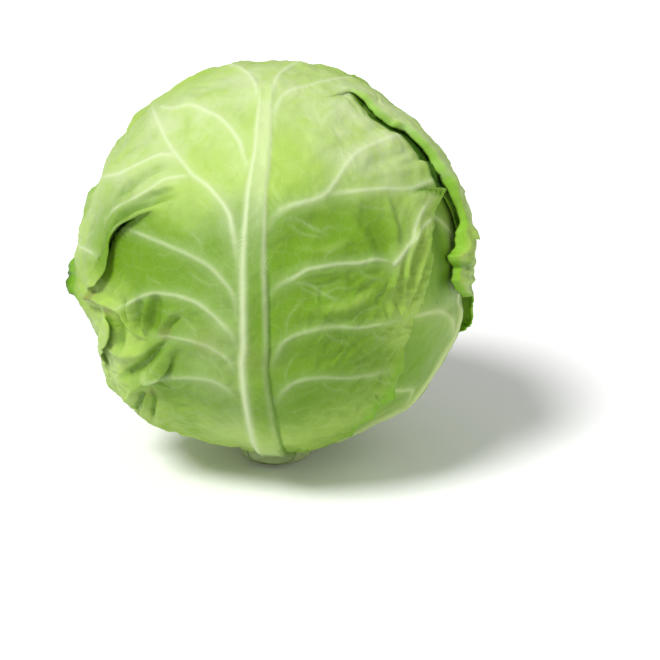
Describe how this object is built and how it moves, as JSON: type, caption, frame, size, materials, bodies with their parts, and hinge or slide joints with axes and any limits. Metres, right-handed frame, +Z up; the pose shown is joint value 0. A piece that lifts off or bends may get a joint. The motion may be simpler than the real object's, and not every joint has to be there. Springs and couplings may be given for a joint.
{
  "type": "cabbage head",
  "caption": "Round head of white cabbage on its cut stem: a dense heart wrapped in loose leaves with wide pale midribs, branching veins and a wavy margin.",
  "frame": {"origin": "middle of the stem's flat cut face, which the head stands on", "axes": "+Z up along the stem, -Y towards the widest outer leaf, +X to that leaf's right as seen from in front"},
  "size_m": [0.1832, 0.1757, 0.1831],
  "materials": {
    "stem": "moist cut pith, matt",
    "heart_leaf": "waxy leaf, satin",
    "inner_leaf": "waxy leaf, satin",
    "outer_leaf": "waxy leaf with a pale bloom, satin"
  },
  "bodies": {
    "root": {"stem": "stem", "heart": "heart_leaf", "crown_leaf": "inner_leaf", "right_leaf": "inner_leaf", "left_leaf": "inner_leaf", "back_leaf": "outer_leaf", "front_leaf": "outer_leaf"}
  },
  "joints": []
}
